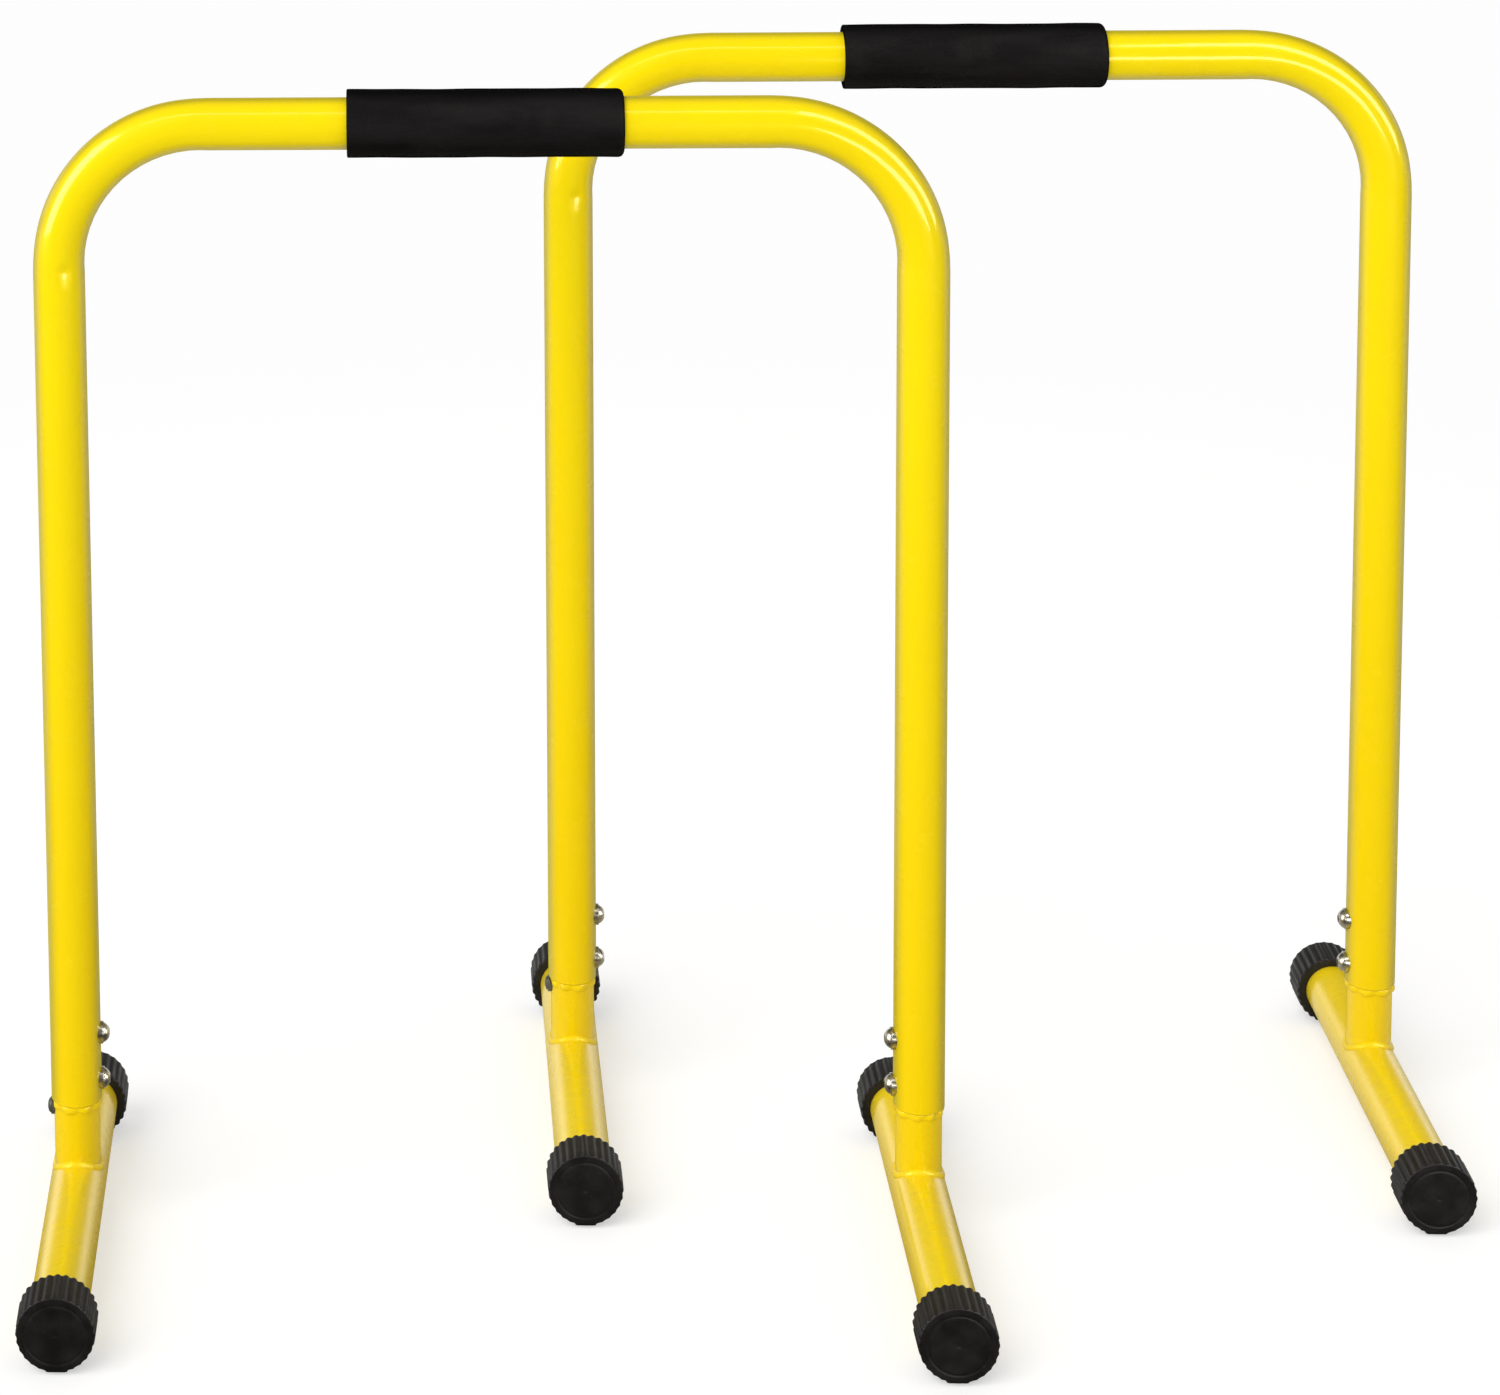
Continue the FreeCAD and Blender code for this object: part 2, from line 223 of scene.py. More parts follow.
def handle_frame(name, centre):
    seg = 96
    s, total, pts, nrm, bend = frame_path()
    phi = np.arange(seg) * TAU / seg
    c, sn = np.cos(phi), np.sin(phi)
    front = np.array([0.0, -1.0, 0.0])
    r_in = TUBE_R - TUBE_WALL
    dent_s = BAR_Z - BEND_R - LEG_Z - 2.5
    dent_phi = math.pi - math.acos(0.30)

    def ring(i, r, off=0.0):
        o, near = bend[i]
        # the bender leaves the tube a little oval, flattens its outer side and marks the tangent line
        a = r * (1.0 - 0.013 * o) - 0.22 * o * np.clip(c, 0.0, 1.0) ** 6
        b = r * (1.0 + 0.007 * o)
        mark = 0.10 * math.exp(-(near / 3.2) ** 2) if near < 14.0 else 0.0
        ripple = 0.05 * o * np.clip(-c, 0.0, 1.0) ** 4 * math.sin(s[i] * TAU / 11.0)
        # upright flat left by the bender's clamp on the front of the left leg, just below the bend: it sinks
        # in slowly from below and closes quickly at the top
        dz = s[i] - dent_s
        t = (dz + 12.0) / 16.0
        sink = 0.0 if t < 0.0 else (2.5 * t * t if t < 0.2 else t - 0.1)
        sink *= 1.62 * float(smooth01((10.5 - dz) / 8.0))
        dent = sink * np.exp(-((phi - dent_phi) * TUBE_R / 4.2) ** 2)
        rad_a, rad_b = a - mark + ripple - dent, b - mark - dent
        along = np.cross(nrm[i], front)
        p = pts[i] + along * off
        return p + np.outer(rad_a * c, nrm[i]) + np.outer(rad_b * sn, front)

    n = len(s)
    outer = []
    # rolled paint edge at both open ends
    for i in range(n):
        d = min(s[i], total - s[i])
        r = TUBE_R - 0.5 * max(0.0, 1.0 - d / 0.5) ** 1.6
        outer.append(ring(i, r))
    inner = [ring(i, r_in + 0.25 * max(0.0, 1.0 - min(s[i], total - s[i]) / 0.5)) for i in reversed(range(n))]
    verts, faces = loft(outer + inner, wrap=True)
    ob = make_object(name, at(verts, centre), faces)
    cutters = []
    for side in (-1.0, 1.0):
        for z in BOLT_ROWS:
            k = np.arange(48) * TAU / 48
            rows = []
            for x in (HALF - TUBE_R - 3.0, HALF - 6.0):
                rows.append(np.stack([np.full(48, x), 4.25 * np.cos(k), z + 4.25 * np.sin(k)], 1) * [side, 1.0, 1.0])
            v, f = loft(rows, wrap=False, pole_start=True, pole_end=True)
            cutters.append(make_object("cutter", at(v, centre), f))
    cut_with(ob, cutters)
    return ob


# ---------------------------------------------------------------- foam grip
def grip_sleeve(name, node, centre, seed):
    lo, hi = box_mm(node)
    x0, x1 = lo[0] - centre[0], hi[0] - centre[0]
    bore = TUBE_R + 0.02
    seg = 144
    phi = np.arange(seg) * TAU / seg
    rings = []

    def outer_ring(x, r):
        t = (x - x0) / (x1 - x0)
        # soft foam: slow wobble along and around, a slight swell near the pushed-on end
        wob = 0.10 * np.sin(3.0 * phi + 9.0 * t + seed) + 0.07 * np.sin(5.0 * phi - 17.0 * t + 2.0 * seed)
        wob += 0.06 * math.sin(31.0 * t + seed) + 0.05 * np.sin(11.0 * phi + 4.0 * math.sin(7.0 * t))
        rr = r - 0.22 + wob * min(1.0, (r - bore) / 5.0)
        return np.stack([np.full(seg, x), rr * np.sin(phi), BAR_Z + rr * np.cos(phi)], 1)

    # square-cut end: small broken edge
    for x, r in ((x0, bore), (x0, bore + 1.5), (x0 - 0.0, GRIP_R - 2.2), (x0 + 0.02, GRIP_R - 1.1), (x0 + 0.18, GRIP_R - 0.45),
                 (x0 + 0.5, GRIP_R - 0.14), (x0 + 1.0, GRIP_R - 0.02)):
        rings.append(outer_ring(x, r) if r > bore + 0.1 else
                     np.stack([np.full(seg, x), r * np.sin(phi), BAR_Z + r * np.cos(phi)], 1))
    for x in spaced(x0 + 2.2, x1 - 6.2, 2.2):
        rings.append(outer_ring(x, GRIP_R))
    # rounded end
    rr = 4.6
    for k in range(11):
        a = k / 10.0 * math.pi / 2.0
        rings.append(outer_ring(x1 - rr + rr * math.sin(a), GRIP_R - rr + rr * math.cos(a)))
    rings.append(np.stack([np.full(seg, x1), (bore + 0.4) * np.sin(phi), BAR_Z + (bore + 0.4) * np.cos(phi)], 1))
    rings.append(np.stack([np.full(seg, x1 - 0.3), bore * np.sin(phi), BAR_Z + bore * np.cos(phi)], 1))
    for x in np.linspace(x1 - 12.0, x0 + 12.0, 12):
        rings.append(np.stack([np.full(seg, x), bore * np.sin(phi), BAR_Z + bore * np.cos(phi)], 1))
    verts, faces = loft(rings, wrap=True)
    return make_object(name, at(verts, centre), faces, 40.0)


# ---------------------------------------------------------------- foot tubes, welds, stop rings
def foot_tube(name, node, centre, side):
    lo, hi = box_mm(node)
    y0, y1 = lo[1] - centre[1], hi[1] - centre[1]
    seg = 96
    phi = np.arange(seg) * TAU / seg
    r_in = FOOT_R - FOOT_WALL

    def ring(y, r):
        return np.stack([side * HALF + r * np.sin(phi), np.full(seg, y), FOOT_Z + r * np.cos(phi)], 1)

    rings = [ring(y0, r_in + 0.3), ring(y0, FOOT_R - 0.45), ring(y0 + 0.1, FOOT_R - 0.2), ring(y0 + 0.45, FOOT_R)]
    rings += [ring(y, FOOT_R) for y in spaced(y0 + 3.0, y1 - 3.0, 5.0)]
    rings += [ring(y1 - 0.45, FOOT_R), ring(y1 - 0.1, FOOT_R - 0.2), ring(y1, FOOT_R - 0.45), ring(y1, r_in + 0.3)]
    rings += [ring(y1 - 0.3, r_in)] + [ring(y, r_in) for y in np.linspace(y1 - 10.0, y0 + 10.0, 20)] + [ring(y0 + 0.3, r_in)]
    verts, faces = loft(rings, wrap=True)
    return make_object(name, at(verts, centre), faces)


def spigot(name, node, centre, side):
    """Upright stub: coped over the foot tube at the bottom, chamfered at the top, two bolt holes on the inner side."""
    lo, hi = box_mm(node)
    top = hi[2]
    seg = 120
    th = np.arange(seg) * TAU / seg
    r_in = SPIGOT_R - 2.2

    def cope(r):
        return FOOT_Z + np.sqrt((FOOT_R + 0.02) ** 2 - (r * np.cos(th)) ** 2)

    def ring(r, z):
        return np.stack([side * HALF + r * np.cos(th), r * np.sin(th), z * np.ones(seg)], 1)

    zb, zi = cope(SPIGOT_R), cope(r_in)
    rings = []
    for k in range(5):
        rings.append(ring(SPIGOT_R, zb + (56.0 - zb) * k / 4.0))
    rings += [ring(SPIGOT_R, z) for z in spaced(60.0, top - 4.0, 4.0)]
    rings += [ring(SPIGOT_R, top - 1.0), ring(SPIGOT_R - 0.3, top - 0.6), ring(SPIGOT_R - 1.0, top), ring(r_in + 0.2, top), ring(r_in, top - 0.3)]
    rings += [ring(r_in, z) for z in np.linspace(top - 4.0, 60.0, 16)]
    rings += [ring(r_in, zi + (56.0 - zi) * k / 3.0) for k in (3, 2, 1, 0)]
    verts, faces = loft(rings, wrap=True)
    ob = make_object(name, at(verts, centre), faces)
    cutters = []
    for z in BOLT_ROWS:
        k = np.arange(40) * TAU / 40
        rows = [np.stack([np.full(40, x), 4.25 * np.cos(k), z + 4.25 * np.sin(k)], 1) * [side, 1.0, 1.0]
                for x in (HALF - SPIGOT_R - 3.0, HALF - 6.0)]
        v, f = loft(rows, wrap=False, pole_start=True, pole_end=True)
        cutters.append(make_object("cutter", at(v, centre), f))
    cut_with(ob, cutters)
    return ob


def foot_weld(name, centre, side, seed):
    """Painted weld bead with overlapping puddles, laid in the corner between spigot and foot tube."""
    n = 300
    a = np.arange(n) * TAU / n
    px, py = SPIGOT_R * np.cos(a), SPIGOT_R * np.sin(a)
    pz = FOOT_Z + np.sqrt(FOOT_R ** 2 - px ** 2)
    p = np.stack([px, py, pz], 1)
    step = np.linalg.norm(np.roll(p, -1, 0) - p, axis=1)
    arc = np.concatenate([[0.0], np.cumsum(step)[:-1]])
    length = step.sum()
    puddles = int(round(length / 4.6))
    up = np.array([0.0, 0.0, 1.0])
    rings = []
    m = 15
    for i in range(n):
        out = np.array([math.cos(a[i]), math.sin(a[i]), 0.0])
        # slope of the foot tube's surface, going away from the spigot
        fall = -px[i] * out[0] / math.sqrt(FOOT_R ** 2 - px[i] ** 2)
        d = np.array([out[0], out[1], fall])
        d /= np.linalg.norm(d)
        span = math.acos(max(-1.0, min(1.0, float(d @ up))))
        side_dir = d - up * float(d @ up)
        side_dir /= np.linalg.norm(side_dir)
        loop = []
        for j in range(m):
            t = j / (m - 1.0)
            ang = -0.12 + t * (span + 0.24)
            # crescent-shaped puddle fronts: the phase lags towards both toes of the bead
            u = arc[i] / length * puddles + 0.55 * (2.0 * t - 1.0) ** 2
            k = math.floor(u)
            f = u - k
            r1 = float(hash01(k % puddles, seed))
            lump = math.sqrt(max(0.0, 1.0 - (1.6 * f - 0.75) ** 2)) if f < 0.97 else 0.55
            rho = 2.85 + 0.36 * (lump - 0.6) + 0.26 * (r1 - 0.5) + 0.12 * math.sin(3.0 * a[i] + seed)
            rho *= 1.0 - 0.20 * math.sin(math.pi * t)
            loop.append(p[i] + rho * (math.cos(ang) * up + math.sin(ang) * side_dir))
        mid = -0.12 + 0.5 * (span + 0.24)
        inward = -(math.cos(mid) * up + math.sin(mid) * side_dir)
        loop.append(p[i] + 0.35 * inward + 0.2 * (d - up * 0.2))
        loop.append(p[i] + 0.35 * inward + 0.2 * up)
        rings.append(np.array(loop))
    verts, faces = loft(rings, wrap=True)
    ob = make_object(name, at(verts, centre + np.array([side * HALF, 0.0, 0.0])), faces, 70.0)
    return ob


def stop_ring(name, node, centre, side, seed):
    """Lumpy welded bead round the spigot, under the open end of the leg."""
    lo, hi = box_mm(node)
    z0, z1, r1 = lo[2], hi[2], (hi[0] - lo[0]) / 2.0
    n = 240
    th = np.arange(n) * TAU / n
    r0 = SPIGOT_R + 0.02
    lumps = 9
    ph = th * lumps / TAU + 0.16 * np.sin(2.0 * th + seed) + 0.2
    k = np.floor(ph)
    f = ph - k
    size = 0.70 + 0.30 * hash01(k % lumps, seed + 4.0)
    bump = (np.sin(math.pi * f) ** 1.5) * size
    if side < 0:
        bump = bump * (1.0 - np.exp(-((np.abs(th - math.pi)) / 0.42) ** 4))
    rings = []
    for i in range(n):
        b = bump[i]
        low = z0 - 1.8 * b + 0.3 + 0.15 * math.sin(5.0 * th[i] + seed)
        r_max = r0 + 0.55 + 1.75 * b
        prof = [(r0, z1), (r0, low), (r0 + 0.15, low)]
        for j in range(1, 12):
            t = j / 12.0
            ang = -math.pi / 2.0 + t * math.pi * 0.90
            prof.append((r0 + 0.15 + (r_max - r0 - 0.15) * max(0.0, math.cos(ang)) ** 0.8,
                         low + (z1 - low) * (0.5 + 0.5 * math.sin(ang))))
        prof.append((r0 + 0.35, z1))
        rings.append(np.array([(side * HALF + r * math.cos(th[i]), r * math.sin(th[i]), z) for r, z in prof]))
    verts, faces = loft(rings, wrap=True)
    return make_object(name, at(verts, centre), faces, 60.0)


# ---------------------------------------------------------------- rubber caps
def foot_cap(name, node, centre, side, sign, seed):
    """Ribbed rubber cup. sign -1: end face towards -Y; +1: towards +Y."""
    lo, hi = box_mm(node)
    face_y = lo[1] if sign < 0 else hi[1]
    face_y -= centre[1]
    per = 12
    th = [i * TAU / (RIBS * per) for i in range(RIBS * per)]
    pad_half = 8.5
    edge = math.atan2(pad_half, FOOT_Z)
    for e in (math.pi - edge, math.pi + edge):
        th += [e - 0.010, e + 0.010, e]
    th = np.array(sorted(set(round(v, 6) for v in th)))
    seg = len(th)
    groove = 0.5 + 0.5 * np.cos(RIBS * (th - TAU * 0.5 / RIBS))
    groove = groove ** 1.35
    s_, c_ = np.sin(th), np.cos(th)
    rim, depth = 2.2, 1.35

    def ring(t, r, cut=0.0, pad=False, flash=0.0):
        """t: distance from the end face towards the mouth; r: crown radius; cut: groove depth."""
        rr = r - cut * groove
        rr = rr + flash
        if pad:
            u = np.abs(th - math.pi)
            x_pad = FOOT_Z * np.tan(np.minimum(u, 1.2))
            # rounded-rectangle standing pad, reaching down to the floor plane
            ty = abs(t - CAP_LEN / 2.0) - (12.0 - 2.5)
            dx = x_pad - (pad_half - 2.5)
            dist = np.where((dx > 0) & (ty > 0), np.hypot(np.maximum(dx, 0), max(ty, 0.0)), np.maximum(dx, ty)) - 2.5
            w = smooth01(0.5 - dist / 0.55)
            floor_r = (FOOT_Z - 0.0) / np.maximum(-c_, 0.2)
            rr = np.where(u < 0.5, rr * (1 - w) + np.maximum(floor_r, rr) * w, rr)
        y = face_y - sign * t
        return np.stack([side * HALF + rr * s_, np.full(seg, y), FOOT_Z + rr * c_], 1)

    rings = []
    # end face: moulded disc with a shallow ring and a small gate mark
    for r, t in ((0.6, 0.32), (1.3, 0.30), (1.7, 0.10), (2.4, 0.02), (3.0, 0.0), (8.0, 0.0), (14.0, 0.02), (19.0, 0.06), (20.6, 0.10),
                 (21.1, 0.22), (21.5, 0.42), (22.1, 0.45), (22.5, 0.30), (22.9, 0.12), (23.5, 0.06)):
        rings.append(ring(t, r))
    # rolled rim between face and ribs; the grooves break out through it
    rim = 1.9
    r_face = CAP_R - rim
    for k in range(0, 10):
        a = k / 9.0 * math.pi / 2.0
        cut = depth * float(smooth01((math.sin(a) - 0.35) / 0.65)) * 0.86
        rings.append(ring(0.06 + rim * (1.0 - math.cos(a)), r_face + (rim - 0.26) * math.sin(a), cut))
    # crown of ribs
    for t, cut in ((2.5, 0.90), (3.0, 0.94), (3.5, 0.97), (4.2, 1.0), (4.8, 1.0)):
        rings.append(ring(t, CAP_R - 0.26 + 0.03 * (t - 2.0), depth * cut, pad=t > 3.2))
    ts = sorted(set([round(v, 3) for v in np.linspace(5.2, CAP_LEN - 3.2, 17)] + [3.75 + 0.0] ) - {3.75})
    mid = CAP_LEN * 0.52
    for t in ts:
        line = 0.07 * math.exp(-((t - mid) / 0.35) ** 2)
        rings.append(ring(t, CAP_R - 0.16 + 0.12 * (t / CAP_LEN), depth, pad=True, flash=line))
    for t in (CAP_LEN - 2.6, CAP_LEN - 2.0):
        rings.append(ring(t, CAP_R - 0.04, depth * 0.98, pad=True))
    # rounded mouth lip
    for k in range(0, 6):
        a = k / 5.0 * math.pi / 2.0
        rings.append(ring(CAP_LEN - 1.2 + 1.2 * math.sin(a), CAP_R - 1.24 + 1.2 * math.cos(a), depth * (1.0 - 0.25 * k / 5.0)))
    bore = FOOT_R + 0.02
    rings.append(ring(CAP_LEN, bore + 0.9))
    rings.append(ring(CAP_LEN - 0.25, bore + 0.3))
    rings.append(ring(CAP_LEN - 0.8, bore))
    for t in (CAP_LEN * 0.75, CAP_LEN * 0.5, CAP_LEN * 0.3, CAP_END_WALL + 0.01):
        rings.append(ring(t, bore))
    rings.append(ring(CAP_END_WALL, bore - 1.0))
    rings.append(ring(CAP_END_WALL, 8.0))
    verts, faces = loft(rings, wrap=False, pole_start=True, pole_end=True)
    return make_object(name, at(verts, centre), faces, 38.0)


# ---------------------------------------------------------------- locating stud
def stud(name, node, centre):
    """Moulded dome with a thin collar on the outer side of the left spigot, just under the leg."""
    lo, hi = box_mm(node)
    crown = -(lo[0] - centre[0]) - HALF
    ring_lo, ring_hi = box_mm(node.replace("locating_stud", "stop_ring"))
    ring_z, ring_r = ring_lo[2], (ring_hi[0] - ring_lo[0]) / 2.0
    rise = crown - SPIGOT_R
    seg = 96
    psi = np.arange(seg) * TAU / seg

    def ring(rho, h):
        y, z = rho * np.cos(psi), STUD_Z + rho * np.sin(psi)
        base = np.sqrt((SPIGOT_R + 0.02) ** 2 - y ** 2)
        # the back steps out over the stop ring's bead
        under = np.sqrt((ring_r + 0.02) ** 2 - y ** 2) - base
        step = smooth01((z - (ring_z - 0.35)) / 0.35)
        top = base + h
        return np.stack([-HALF - np.maximum(top, base + under * step + min(h, 0.02)), y, z], 1)

    rings = [ring(0.25, 0.0), ring(STUD_R * 0.4, 0.0), ring(STUD_R * 0.7, 0.0), ring(STUD_R - 0.15, 0.0), ring(STUD_R, 0.08),
             ring(STUD_R, 1.3), ring(STUD_R, 2.1), ring(STUD_R - 0.14, 2.35), ring(STUD_R - 0.5, 2.48), ring(STUD_R - 0.95, 2.52),
             ring(STUD_R - 1.15, 2.62)]
    for k in range(1, 13):
        a = k / 12.0 * math.pi / 2.0
        rings.append(ring(max((STUD_R - 1.2) * math.cos(a), 0.25), 2.7 + (rise - 2.7) * math.sin(a)))
    verts, faces = loft(rings, wrap=False, pole_start=True, pole_end=True)
    return make_object(name, at(verts, centre), faces, 35.0)


# ---------------------------------------------------------------- materials
class Graph:
    def __init__(self, name):
        self.mat = bpy.data.materials.new(name)
        self.mat.use_nodes = True
        self.nt = self.mat.node_tree
        self.nt.nodes.clear()
        self.out = self.nt.nodes.new("ShaderNodeOutputMaterial")
        self.bsdf = self.nt.nodes.new("ShaderNodeBsdfPrincipled")
        self.nt.links.new(self.bsdf.outputs[0], self.out.inputs["Surface"])
        self.tc = self.nt.nodes.new("ShaderNodeTexCoord")

    def node(self, kind, **props):
        n = self.nt.nodes.new(kind)
        for k, v in props.items():
            setattr(n, k, v)
        return n

    def put(self, sock, value):
        if value is None:
            return
        if isinstance(value, bpy.types.NodeSocket):
            self.nt.links.new(value, sock)
        else:
            sock.default_value = value

    def coords(self, scale=(1.0, 1.0, 1.0), offset=(0.0, 0.0, 0.0), rot=(0.0, 0.0, 0.0)):
        n = self.node("ShaderNodeMapping")
        self.nt.links.new(self.tc.outputs["Object"], n.inputs["Vector"])
        n.inputs["Scale"].default_value = scale
        n.inputs["Location"].default_value = offset
        n.inputs["Rotation"].default_value = rot
        return n.outputs[0]

    def noise(self, vec, scale, detail=2.0, rough=0.5, distortion=0.0):
        n = self.node("ShaderNodeTexNoise")
        self.put(n.inputs["Vector"], vec)
        n.inputs["Scale"].default_value = scale
        n.inputs["Detail"].default_value = detail
        n.inputs["Roughness"].default_value = rough
        n.inputs["Distortion"].default_value = distortion
        return n.outputs[0]

    def voronoi(self, vec, scale, feature="F1", randomness=1.0):
        n = self.node("ShaderNodeTexVoronoi", feature=feature)
        self.put(n.inputs["Vector"], vec)
        n.inputs["Scale"].default_value = scale
        n.inputs["Randomness"].default_value = randomness
        return n.outputs["Distance"]

    def remap(self, value, lo, hi, to_lo=0.0, to_hi=1.0, smooth=False):
        n = self.node("ShaderNodeMapRange", interpolation_type="SMOOTHSTEP" if smooth else "LINEAR", clamp=True)
        self.put(n.inputs["Value"], value)
        for key, v in (("From Min", lo), ("From Max", hi), ("To Min", to_lo), ("To Max", to_hi)):
            n.inputs[key].default_value = v
        return n.outputs["Result"]

    def math(self, op, a, b=None, c=None, clamp=False):
        n = self.node("ShaderNodeMath", operation=op, use_clamp=clamp)
        for sock, v in zip(n.inputs, (a, b, c)):
            self.put(sock, v)
        return n.outputs[0]

    def mix(self, fac, a, b, blend="MIX"):
        n = self.node("ShaderNodeMix", data_type="RGBA", blend_type=blend)
        self.put(n.inputs["Factor"], fac)
        for sock, v in ((n.inputs[6], a), (n.inputs[7], b)):
            self.put(sock, v if isinstance(v, bpy.types.NodeSocket) else tuple(v) + (1.0,) * (4 - len(v)))
        return n.outputs[2]

    def bump(self, height, strength, distance, normal=None):
        n = self.node("ShaderNodeBump")
        n.inputs["Strength"].default_value = strength
        n.inputs["Distance"].default_value = distance
        self.put(n.inputs["Height"], height)
        if normal is not None:
            self.put(n.inputs["Normal"], normal)
        return n.outputs[0]

    def set(self, **vals):
        names = {"color": "Base Color", "rough": "Roughness", "metal": "Metallic", "ior": "IOR", "spec": "Specular IOR Level",
                 "tint": "Specular Tint", "coat": "Coat Weight", "coat_rough": "Coat Roughness", "coat_ior": "Coat IOR",
                 "coat_tint": "Coat Tint", "normal": "Normal", "coat_normal": "Coat Normal", "sheen": "Sheen Weight",
                 "sheen_rough": "Sheen Roughness", "sheen_tint": "Sheen Tint", "aniso": "Anisotropic"}
        for k, v in vals.items():
            if isinstance(v, (tuple, list)) and len(v) == 3:
                v = tuple(v) + (1.0,)
            self.put(self.bsdf.inputs[names[k]], v)


# painted shade colour, laid on towards the bottom of the legs
LOW_SHADE_COLOUR = (0.860, 0.600, 0.0011)


def powder_coat(name, base, warm, edge, rough, coat, dull=0.0, edge_shade_at=(0.20, 0.80), edge_shade_amount=0.90, upper=None,
                fade=1.0):
    """Gloss powder coat: orange peel, slow thickness variation, painted shade on the edges and towards the bottom of
    the legs, light dust and small wear.
    upper: base, warm and edge colours used above the foot tubes; below them the given paler, duller colours are painted
    light on the feet."""
    g = Graph(name)
    o = g.coords()
    if upper is not None:
        o_sep = g.node("ShaderNodeSeparateXYZ")
        g.put(o_sep.inputs[0], g.tc.outputs["Object"])
        high = g.remap(g.math("ADD", o_sep.outputs["Z"], g.remap(g.noise(o, 160.0, 2.0), 0.3, 0.7, -0.003, 0.003)), 0.046, 0.056, 0.0, 1.0, True)
        base = g.mix(high, base, upper[0])
        warm = g.mix(high, warm, upper[1])
        edge = g.mix(high, edge, upper[2])
        low_fade = g.math("SUBTRACT", 1.0, high)
    else:
        o_sep = g.node("ShaderNodeSeparateXYZ")
        g.put(o_sep.inputs[0], g.tc.outputs["Object"])
    # painted shade: the colour is darkened and warmed towards the bottom of the legs
    low_shade_mask = g.remap(g.math("ADD", o_sep.outputs["Z"], g.remap(g.noise(o, 5.0, 2.0), 0.3, 0.7, -0.05, 0.05)), 0.06, 0.74, 0.85, 0.0)
    if upper is not None:
        low_shade_mask = g.math("MULTIPLY", low_shade_mask, high)
    base = g.mix(low_shade_mask, base, LOW_SHADE_COLOUR)
    warm = g.mix(low_shade_mask, warm, LOW_SHADE_COLOUR)
    slow = g.noise(o, 7.0, 2.0)
    mid = g.noise(o, 45.0, 3.0)
    fine = g.noise(o, 640.0, 2.0, 0.45)
    peel = g.noise(o, 310.0, 1.0, 0.4)
    col = g.mix(g.remap(slow, 0.35, 0.65, 0.0, 0.35, True), base, warm)
    col = g.mix(g.remap(mid, 0.42, 0.72, 0.0, 0.16, True), col, warm)
    # painted shade: the colour darkens towards the edges, where the surface turns away from the eye
    lw = g.node("ShaderNodeLayerWeight")
    lw.inputs["Blend"].default_value = 0.5
    edge_shade = g.remap(lw.outputs["Facing"], edge_shade_at[0], edge_shade_at[1], 0.0, edge_shade_amount, True)
    col = g.mix(edge_shade, col, edge)
    # the orange peel breaks up the gloss at grazing angles
    lost = g.math("MULTIPLY", g.remap(lw.outputs["Facing"], 0.40, 0.85, 0.0, 1.0, True), fade)
    if upper is not None:
        lost = g.math("MULTIPLY", lost, high)
        late = g.math("MULTIPLY", g.remap(lw.outputs["Facing"], 0.70, 0.95, 0.0, 0.80, True), low_fade)
        lost = g.math("ADD", lost, late, clamp=True)
    calm = g.math("SUBTRACT", 1.0, lost)
    # fine dust settled on upward faces
    geo = g.node("ShaderNodeNewGeometry")
    sep = g.node("ShaderNodeSeparateXYZ")
    g.put(sep.inputs[0], geo.outputs["Normal"])
    up = g.remap(sep.outputs["Z"], 0.55, 1.0, 0.0, 1.0, True)
    speck = g.remap(g.noise(o, 900.0, 2.0, 0.6), 0.60, 0.72, 0.0, 1.0, True)
    dust = g.math("MULTIPLY", g.math("MULTIPLY", up, speck), 0.05 + dull)
    col = g.mix(dust, col, (0.86, 0.80, 0.62))
    # rubbed edges, from the mesh's own sharp convex rims
    rub = g.remap(geo.outputs["Pointiness"], 0.53, 0.60, 0.0, 1.0, True)
    rub = g.math("MULTIPLY", rub, g.remap(g.noise(o, 420.0, 3.0, 0.6), 0.52, 0.60, 0.0, 1.0, True))
    col = g.mix(g.math("MULTIPLY", rub, 0.55), col, (0.45, 0.36, 0.10))
    # hairline handling marks
    s1 = g.remap(g.noise(g.coords((3.0, 3.0, 160.0), (0.1, 0.3, 0.2), (0.35, 0.2, 0.0)), 14.0, 2.0, 0.5), 0.665, 0.70, 0.0, 1.0)
    s2 = g.remap(g.noise(g.coords((140.0, 5.0, 5.0), (0.4, 0.0, 0.5), (0.0, 0.5, 0.3)), 12.0, 2.0, 0.5), 0.675, 0.71, 0.0, 1.0)
    hair = g.math("MAXIMUM", s1, s2)
    r = g.math("ADD", g.remap(mid, 0.3, 0.7, rough - 0.03, rough + 0.05), g.math("MULTIPLY", hair, 0.05))
    r = g.math("ADD", r, g.math("MULTIPLY", dust, 1.5), clamp=True)
    h = g.math("ADD", g.math("MULTIPLY", peel, 1.0), g.math("MULTIPLY", fine, 0.35))
    n1 = g.bump(h, 0.35, 0.00003)
    n2 = g.bump(g.math("MULTIPLY", hair, -1.0), 0.12, 0.00001, n1)
    wave = g.bump(g.noise(o, 55.0, 1.0), 0.20, 0.00025, n2)
    g.set(color=col, rough=r, spec=g.math("MULTIPLY", calm, 0.36), tint=(1.0, 0.86, 0.25), coat=g.math("MULTIPLY", calm, coat), coat_rough=0.045, coat_ior=1.42, coat_tint=(1.0, 0.97, 0.85),
          normal=wave, coat_normal=wave)
    return g.mat


